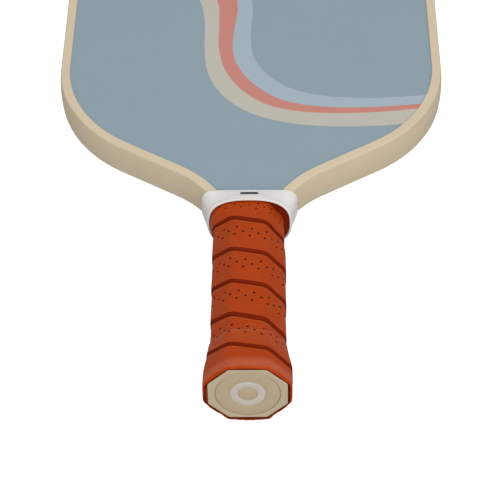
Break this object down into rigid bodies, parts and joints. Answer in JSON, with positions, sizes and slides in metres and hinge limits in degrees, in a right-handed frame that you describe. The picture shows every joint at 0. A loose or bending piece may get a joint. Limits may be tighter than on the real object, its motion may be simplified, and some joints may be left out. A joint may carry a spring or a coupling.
{
  "type": "pickleball paddle",
  "caption": "Flat rounded paddle head on a honeycomb core with a slim edge guard, a rubber collar and a spiral-wrapped eight-sided grip.",
  "frame": {"origin": "centre of the butt end plate's rim plane, on the handle's axis", "axes": "+Y from the butt to the head, +Z out of the front face, +X to the right when the front face is seen with the head up"},
  "size_m": [0.2026, 0.4, 0.0374],
  "materials": {
    "core": "translucent natural polypropylene",
    "adhesive": "cured adhesive film",
    "skin": "woven glass-fibre laminate",
    "printed_film": "satin, finely grained, with printed curved bands",
    "tape": "adhesive tape",
    "edge_guard": "satin moulded strip",
    "handle_shell": "moulded rigid foam",
    "butt_cap": "satin",
    "butt_badge": "matte",
    "badge_ring": "matte",
    "grip_wrap": "perforated synthetic leather, lightly pebbled",
    "collar": "matte silicone",
    "collar_mark": "matte print"
  },
  "bodies": {
    "root": {"core": "core", "adhesive_front": "adhesive", "adhesive_back": "adhesive", "skin_front": "skin", "skin_back": "skin", "printed_film_front": "printed_film", "printed_film_back": "printed_film", "guard_tape": "tape", "edge_guard": "edge_guard", "handle_shell_front": "handle_shell", "handle_shell_back": "handle_shell", "butt_cap": "butt_cap", "butt_badge": "butt_badge", "badge_ring": "badge_ring", "grip_wrap": "grip_wrap", "finishing_tape": "tape", "collar": "collar", "collar_mark": "collar_mark"}
  },
  "joints": []
}
